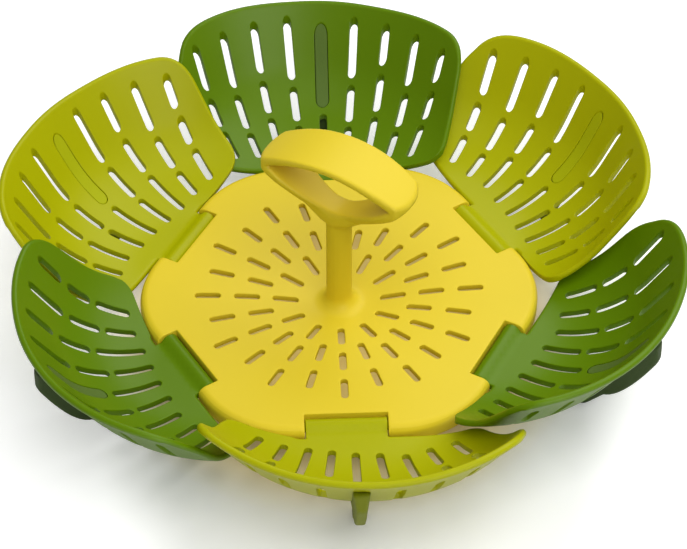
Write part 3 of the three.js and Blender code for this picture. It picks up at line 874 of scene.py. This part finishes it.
def gapOutline():
    # the opening for the fingers, from the side
    h = handle
    tip, ceiling = h["halfLength"] - 2 * h["wall"], h["crown"] - h["wall"]
    corner, foot = h["tipHeight"] - h["wall"] / 2, h["footHeight"] + 2 * h["wall"]
    return np.concatenate([
        curved((-tip, corner), (0, 2 * ceiling - corner), (tip, corner), 24)[:-1],
        curved((tip, corner), (tip / 3, foot), (0, foot), 16)[:-1],
        curved((0, foot), (-tip / 3, foot), (-tip, corner), 16)[:-1],
    ])


def leafOutline():
    # the loop from above: wide in the middle, with rounded ends
    h = handle
    shoulder, bulge = h["halfLength"] - h["tipRound"], 2 * h["halfWidth"] - h["tipHalf"]
    beyond, t = h["halfLength"] + h["tipRound"], h["tipHalf"]
    half = np.concatenate([
        curved((-shoulder, -t), (0, -bulge), (shoulder, -t), 20)[:-1],
        curved((shoulder, -t), (beyond, 0), (shoulder, t), 10)[:-1],
    ])
    return np.concatenate([half, -half])


def flareOutline():
    # the loop from its end: narrow at the stem and wide at the top
    h = handle
    low, top = h["footHeight"] - 15, h["crown"] + 10
    armTop, arch = h["footHeight"] + 2 * h["wall"], h["tipHeight"] + h["wall"] / 2
    side = np.concatenate([
        [(h["footHalf"], low)],
        curved((h["footHalf"], armTop), h["armBend"], (h["halfWidth"], arch), 14),
        [(h["halfWidth"], top)],
    ])
    return np.concatenate([side, side[::-1] * [-1, 1]])


def onGrid(first, second, outline):
    # distances to an outline over a flat grid
    a, b = np.meshgrid(first, second, indexing="ij")
    return outlineDistance(np.column_stack([a.ravel(), b.ravel()]), outline).reshape(a.shape)


def fieldSurface(field, low, step):
    # the surface where a field is zero: one point in each cell that it crosses, in the middle of the
    # places where it cuts the cell's sides, and one quad round each grid line that it cuts.
    # The field has to be positive all round the grid's border.
    shape = np.array(field.shape) - 1
    total, count = np.zeros((*shape, 3)), np.zeros(shape)
    crossings = []
    for axis in range(3):
        others = [k for k in range(3) if k != axis]
        lines, sums, counts = (np.moveaxis(values, axis, 0) for values in (field, total, count))
        a, b = lines[:-1], lines[1:]
        cut = (a < 0) != (b < 0)
        share = np.where(cut, a / np.where(cut, a - b, 1.0), 0.0)
        crossings.append((axis, others, np.moveaxis(cut, 0, axis), np.moveaxis(a < 0, 0, axis)))
        rows, columns = counts.shape[1:]
        for da, db in ((0, 0), (0, 1), (1, 0), (1, 1)):
            here = cut[:, da:rows + da, db:columns + db]
            counts += here
            sums[..., axis] += share[:, da:rows + da, db:columns + db]
            sums[..., others[0]] += da * here
            sums[..., others[1]] += db * here
    used = count > 0
    number = -np.ones(shape, int)
    number[used] = np.arange(used.sum())
    points = (np.argwhere(used) + total[used] / count[used][:, None]) * step + low
    faces = []
    for axis, others, cut, inside in crossings:
        corners = []
        for offset in ((-1, -1), (0, -1), (0, 0), (-1, 0)):
            cells = np.argwhere(cut)
            cells[:, others] += offset
            corners.append(number[tuple(cells.T)])
        quads = np.stack(corners, axis=1)
        back = inside[cut] != (axis != 1)
        quads[back] = quads[back][:, ::-1]
        faces.append(quads)
    return points, [np.concatenate(faces)]


def makeHandleShape():
    # band, plan leaf and end view meet as soft corners; the finger gap is cut; the stem is joined
    h, step = handle, handle["step"]
    floor = dishHeight(np.zeros((1, 2)))[0]
    low = np.array([-h["halfLength"] - 2, -h["halfWidth"] - 2, floor - h["sunk"] - 1.5])
    high = np.array([h["halfLength"] + 2, h["halfWidth"] + 2, h["crown"] + 2])
    along, across, up = (np.arange(low[k], high[k], step) for k in range(3))
    band, gap = onGrid(along, up, loopOutline()), onGrid(along, up, gapOutline())
    leaf, flare = onGrid(along, across, leafOutline()), onGrid(across, up, flareOutline())
    loop = softMax(band[:, None, :], leaf[:, :, None], h["soft"])
    loop = softMax(loop, flare[None, :, :], h["soft"])
    lowest = h["flare"] - math.sqrt(h["flare"] ** 2 - h["filletRun"] ** 2)
    above = np.clip(up - floor, lowest, h["flare"])
    swell = h["flare"] - np.sqrt(h["flare"] ** 2 - (h["flare"] - above) ** 2)
    radius = np.hypot(along[:, None], across[None, :])
    stem = radius[:, :, None] - h["stem"] - swell - h["stemCover"]
    stem = softMax(stem, up[None, None, :] - (h["footHeight"] + h["wall"]), 1.0)
    body = softMin(loop, stem, h["stemSoft"])
    body = softMax(body, -gap[:, None, :] + 0 * body, h["gapSoft"])
    body = np.maximum(body, (floor - h["sunk"] - up)[None, None, :])
    points, faces = fieldSurface(body, low, step)
    return turned(points, h["turn"]), faces


# Materials

def linear(red, green, blue):
    # a colour as seen on a screen, 0 to 255, as the renderer wants it
    share = np.array([red, green, blue]) / 255.0
    out = np.where(share <= 0.04045, share / 12.92, ((share + 0.055) / 1.055) ** 2.4)
    return (*out.tolist(), 1.0)


def newMaterial(name):
    material = bpy.data.materials.new(name)
    material.use_nodes = True
    tree = material.node_tree
    return material, tree.nodes, tree.links.new, tree.nodes["Principled BSDF"].inputs


def makeNode(nodes, kind, values={}, **settings):
    # a shader node with its settings and the values of its input sockets
    node = nodes.new(f"ShaderNode{kind}")
    for name, value in settings.items():
        setattr(node, name, value)
    for socket, value in values.items():
        node.inputs[socket].default_value = value
    return node


def colourMix(nodes, link, factor, first, second):
    # a Mix node for colours, from two colours or sockets; its own sockets for them are 6, 7 and 2
    mix = makeNode(nodes, "Mix", data_type="RGBA")
    link(factor, mix.inputs["Factor"])
    for socket, colour in zip(mix.inputs[6:8], (first, second)):
        if isinstance(colour, tuple):
            socket.default_value = colour
        else:
            link(colour, socket)
    return mix.outputs[2]


moulding = {
    "cloudScale": 38.0,
    "cloudBase": 0.97,      # the darkest tone, as a share of the colour
    "grainScale": 1500.0,
    "grainGloss": 0.12,     # how much rougher the grain makes the gloss
    "grainHeight": 0.0001,
}


def makePlasticGroup():
    # moulded plastic: faint cloudy tone, fine grain in the surface and in the gloss
    group = bpy.data.node_groups.new("mouldedPlastic", "ShaderNodeTree")
    kinds = {"Color": "NodeSocketColor", "Normal": "NodeSocketVector"}
    for side, names in (("INPUT", ("Color", "Gloss", "Clouds", "Grain")),
                        ("OUTPUT", ("Color", "Roughness", "Normal"))):
        for name in names:
            kind = kinds.get(name, "NodeSocketFloat")
            group.interface.new_socket(name=name, in_out=side, socket_type=kind)
    nodes, link = group.nodes, group.links.new
    entry, leave = nodes.new("NodeGroupInput").outputs, nodes.new("NodeGroupOutput").inputs
    place = makeNode(nodes, "TexCoord").outputs["Object"]
    clouds = makeNode(nodes, "TexNoise", {"Scale": moulding["cloudScale"], "Detail": 3.0})
    grain = makeNode(nodes, "TexNoise", {"Scale": moulding["grainScale"], "Detail": 2.0})
    for noise in (clouds, grain):
        link(place, noise.inputs["Vector"])
    tone = makeNode(nodes, "Math", {2: moulding["cloudBase"]}, operation="MULTIPLY_ADD")
    link(clouds.outputs["Fac"], tone.inputs[0])
    link(entry["Clouds"], tone.inputs[1])
    scaled = makeNode(nodes, "VectorMath", operation="SCALE")
    link(entry["Color"], scaled.inputs[0])
    link(tone.outputs[0], scaled.inputs["Scale"])
    link(scaled.outputs[0], leave["Color"])
    gloss = makeNode(nodes, "Math", {1: moulding["grainGloss"]}, operation="MULTIPLY_ADD")
    link(grain.outputs["Fac"], gloss.inputs[0])
    link(entry["Gloss"], gloss.inputs[2])
    link(gloss.outputs[0], leave["Roughness"])
    bump = makeNode(nodes, "Bump", {"Distance": moulding["grainHeight"]})
    link(entry["Grain"], bump.inputs["Strength"])
    link(grain.outputs["Fac"], bump.inputs["Height"])
    link(bump.outputs[0], leave["Normal"])
    return group


plasticGroup = makePlasticGroup()

# colours as seen on a screen; a silicone's fin is coloured darker than its plug: partly a darker
# silicone, partly painted shade under the petal
finishes = {
    "yellow_plastic": {
        "colour": (233, 207, 42), "gloss": 0.42, "shine": 0.4, "clouds": 0.05, "grain": 0.25,
    },
    "light_green_plastic": {
        "colour": (174, 176, 0), "gloss": 0.3, "shine": 0.2, "clouds": 0.06, "grain": 0.15,
    },
    "dark_green_plastic": {
        "colour": (96, 130, 2), "gloss": 0.3, "shine": 0.28, "clouds": 0.08, "grain": 0.15,
    },
    "charcoal_silicone": {
        "colour": (90, 114, 48), "darker": (60, 78, 36),
        "gloss": 0.55, "shine": 0.2, "clouds": 0.15, "grain": 0.5,
    },
    "olive_silicone": {
        "colour": (170, 176, 4), "darker": (118, 126, 12),
        "gloss": 0.5, "shine": 0.2, "clouds": 0.1, "grain": 0.4,
    },
    "screw_steel": {
        "colour": (190, 194, 198), "metallic": 1.0,
        "gloss": 0.25, "shine": 0.5, "clouds": 0.05, "grain": 0.1,
    },
}


def makeMaterial(name):
    values = finishes[name]
    material, nodes, link, shader = newMaterial(name)
    shader["Metallic"].default_value = values.get("metallic", 0.0)
    shader["Specular IOR Level"].default_value = values["shine"]
    plastic = makeNode(nodes, "Group", node_tree=plasticGroup)
    plastic.inputs["Color"].default_value = linear(*values["colour"])
    for socket in ("Gloss", "Clouds", "Grain"):
        plastic.inputs[socket].default_value = values[socket.lower()]
    # the shade attribute darkens the fin: partly its own tone, partly painted shade under the petal
    if "darker" in values:
        shade = makeNode(nodes, "Attribute", attribute_name="shade").outputs["Fac"]
        ends = linear(*values["colour"]), linear(*values["darker"])
        link(colourMix(nodes, link, shade, *ends), plastic.inputs["Color"])
    for given, taken in (("Color", "Base Color"), ("Roughness", "Roughness"), ("Normal", "Normal")):
        link(plastic.outputs[given], shader[taken])
    return material


materials = {name: makeMaterial(name) for name in finishes}
print("materials made")

addRound("petal", makePetalShape(), ("light_green_plastic", "dark_green_plastic"))
print("petals made")
plugShape, finShape = makePlugShape(), makeFinShape()
footShade = np.repeat([0.0, 1.0], [len(plugShape[0]), len(finShape[0])])     # the fin is coloured darker: partly a darker silicone, partly painted shade under the petal
addRound("foot", joined([plugShape, finShape]), ("olive_silicone", "charcoal_silicone"), footShade)
print("feet made")
addPiece("basePlate", makePlateShape(), "yellow_plastic", "base", "base_plate")
print("plate made")
addPiece("handleLoop", makeHandleShape(), "yellow_plastic", "base", "handle")
print("handle made")
addPiece("handleScrew", makeScrewShape(), "screw_steel", "base", "handle_screw")
print("screw made")


# Lights and floor

# each lamp faces the origin; a card is seen in the gloss alone
lamps = {
    "topLight": {"power": 5.3, "size": (1.3, 0.7), "place": (0.48, 0.5, 0.85)},
    "fillLight": {"power": 8.7, "size": (1.0, 0.8), "place": (0.19, -0.44, 1.03), "glossy": False},
    "cardLight": {"power": 3.6, "size": (0.8, 0.4), "place": (0.5, -0.95, 0.48), "diffuse": False},
}

# the fades are ovals on the floor: a stretch, a middle, and where the fade starts and ends
room = {
    "sky": 0.28,
    "floorColour": (0.9, 0.9, 0.9, 1),
    "paintedWarmLightColour": (0.85, 0.7, 0.36, 1),
    "glowColour": (2.0, 1.5, 0.45, 1),
    "paintedWarmLight": ((1.0, 1.0, 1.0), (0.0, -0.01, 0.0), (0.062, 0.092)),       # painted warm light under the basket
    "glow": ((1.0, 1.0, 1.0), (0.0, 0.0, 0.0), (0.055, 0.068)),         # painted glow: light that the plate lets through
    "shade": ((1.0, 0.6, 1.0), (0.01, -0.03, 0.0), (0.068, 0.098)),     # the reach of the shadow
    "floorLift": (0.17, 0.48),      # what whitens the floor to the camera, inside and outside the shadow; the lower value inside paints the shadow deeper
}


def makeLamp(name, power, size, place, glossy=True, diffuse=True):
    lamp = bpy.data.lights.new(name, "AREA")
    lamp.shape = "RECTANGLE"
    lamp.size, lamp.size_y = size
    lamp.energy = power
    light = bpy.data.objects.new(name, lamp)
    light.location = place
    light.rotation_euler = (-Vector(place)).to_track_quat("-Z", "Y").to_euler()
    light.visible_glossy, light.visible_diffuse = glossy, diffuse
    bpy.context.scene.collection.objects.link(light)


def floorFade(nodes, link, place, stretch, middle, ends):
    # 0 in the middle of an oval and 1 outside it
    oval = makeNode(nodes, "VectorMath", {1: stretch}, operation="MULTIPLY")
    reach = makeNode(nodes, "VectorMath", {1: middle}, operation="DISTANCE")
    fade = makeNode(nodes, "MapRange", {"From Min": ends[0], "From Max": ends[1]},
                    interpolation_type="SMOOTHSTEP")
    link(place, oval.inputs[0])
    link(oval.outputs["Vector"], reach.inputs[0])
    link(reach.outputs["Value"], fade.inputs["Value"])
    return fade.outputs["Result"]


def makeFloorMaterial():
    material, nodes, link, shader = newMaterial("paleFloor")
    shader["Roughness"].default_value = 1.0
    shader["Specular IOR Level"].default_value = 0.0
    place = makeNode(nodes, "TexCoord").outputs["Object"]
    # the floor's colour paints warm light under the basket, its emission paints a glow under the plate,
    # and less whitening inside the shade oval paints the shadow deeper
    paintedWarmLight, glow, shade = (floorFade(nodes, link, place, *room[name]) for name in ("paintedWarmLight", "glow", "shade"))
    colour = colourMix(nodes, link, paintedWarmLight, room["paintedWarmLightColour"], room["floorColour"])
    link(colour, shader["Base Color"])
    link(colourMix(nodes, link, glow, room["glowColour"], colour), shader["Emission Color"])
    white = makeNode(nodes, "MapRange", {"To Min": room["floorLift"][0], "To Max": room["floorLift"][1]})
    lift = makeNode(nodes, "Math", operation="MULTIPLY")
    link(shade, white.inputs["Value"])
    link(makeNode(nodes, "LightPath").outputs["Is Camera Ray"], lift.inputs[0])
    link(white.outputs["Result"], lift.inputs[1])
    link(lift.outputs[0], shader["Emission Strength"])
    return material


def makeRoom():
    mesh = bpy.data.meshes.new("floor")
    mesh.from_pydata([(-3, -3, 0), (3, -3, 0), (3, 3, 0), (-3, 3, 0)], [], [(0, 1, 2, 3)])
    mesh.materials.append(makeFloorMaterial())
    floor = bpy.data.objects.new("floor", mesh)
    bpy.context.scene.collection.objects.link(floor)
    world = bpy.data.worlds.new("studio")
    bpy.context.scene.world = world
    world.use_nodes = True
    background = world.node_tree.nodes["Background"]
    background.inputs["Color"].default_value = (1, 1, 1, 1)
    background.inputs["Strength"].default_value = room["sky"]
    world.cycles_visibility.glossy = False
    for name, values in lamps.items():
        makeLamp(name, **values)


makeRoom()
print("room made")
